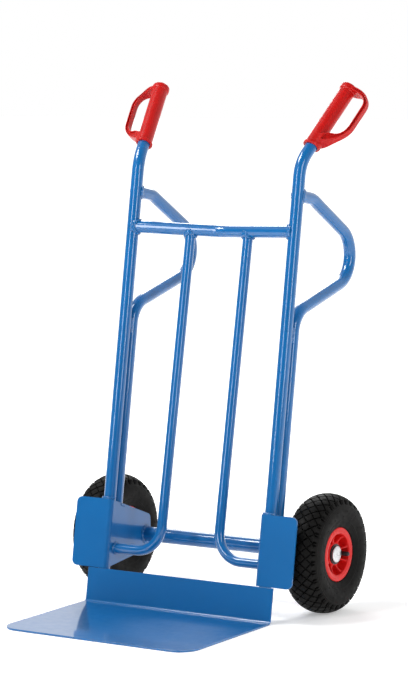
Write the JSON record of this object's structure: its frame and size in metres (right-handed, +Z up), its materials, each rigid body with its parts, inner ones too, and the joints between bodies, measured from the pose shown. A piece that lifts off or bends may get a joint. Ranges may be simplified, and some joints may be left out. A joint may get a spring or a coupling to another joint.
{
  "type": "hand truck",
  "caption": "Hand truck of welded blue tube with a folded toe plate, pneumatic tyres on red rims, rear support loops and closed red handle grips.",
  "frame": {"origin": "On the floor under the middle of the overall box, toe plate and tyres resting on Z = 0", "axes": "+Z up, +Y from the toe plate to the rear loops, +X across to the right seen from the toe plate side"},
  "size_m": [0.637, 0.7286, 1.139],
  "materials": {
    "blue_paint": "glossy powder coat with fine orange peel",
    "weld_paint": "powder coat over rippled weld bead",
    "red_plastic": "satin moulded plastic",
    "tyre_rubber": "matt treaded rubber",
    "butyl": "smooth matt",
    "valve_rubber": "satin",
    "black_plastic": "satin moulded plastic",
    "zinc_steel": "bright zinc plate",
    "zinc_cap": "bright zinc plate, pressed"
  },
  "bodies": {
    "frame": {"axle_cap_left": "zinc_cap", "axle_cap_right": "zinc_cap", "axle_tube": "blue_paint", "crossbar": "blue_paint", "grip_left": "red_plastic", "grip_right": "red_plastic", "inner_tube_left": "blue_paint", "inner_tube_right": "blue_paint", "rear_loop_left": "blue_paint", "rear_loop_right": "blue_paint", "side_bracket_left": "blue_paint", "side_bracket_right": "blue_paint", "side_tube_left": "blue_paint", "side_tube_right": "blue_paint", "stub_axle_left": "zinc_steel", "stub_axle_right": "zinc_steel", "toe_plate": "blue_paint", "washer_left": "zinc_steel", "washer_right": "zinc_steel", "weld_axle_tube": "weld_paint", "weld_bracket_tops": "weld_paint", "weld_crossbar_ends": "weld_paint", "weld_inner_feet": "weld_paint", "weld_inner_tops": "weld_paint", "weld_loop_feet": "weld_paint", "weld_loop_seams": "weld_paint", "weld_loop_tops": "weld_paint", "weld_toe_plate": "weld_paint"},
    "left_wheel": {"tyre_left": "tyre_rubber", "air_tube_left": "butyl", "rim_left": "red_plastic", "bush_inner_left": "black_plastic", "bush_outer_left": "black_plastic", "valve_left": "valve_rubber", "valve_cap_left": "black_plastic"},
    "right_wheel": {"tyre_right": "tyre_rubber", "air_tube_right": "butyl", "rim_right": "red_plastic", "bush_inner_right": "black_plastic", "bush_outer_right": "black_plastic", "valve_right": "valve_rubber", "valve_cap_right": "black_plastic"}
  },
  "joints": [
    {"name": "left_wheel_spin", "type": "hinge", "parent": "frame", "child": "left_wheel", "pos_m": [-0.276, 0.12649, 0.13], "axis": [1, 0, 0], "continuous": true},
    {"name": "right_wheel_spin", "type": "hinge", "parent": "frame", "child": "right_wheel", "pos_m": [0.276, 0.12649, 0.13], "axis": [1, 0, 0], "continuous": true}
  ]
}
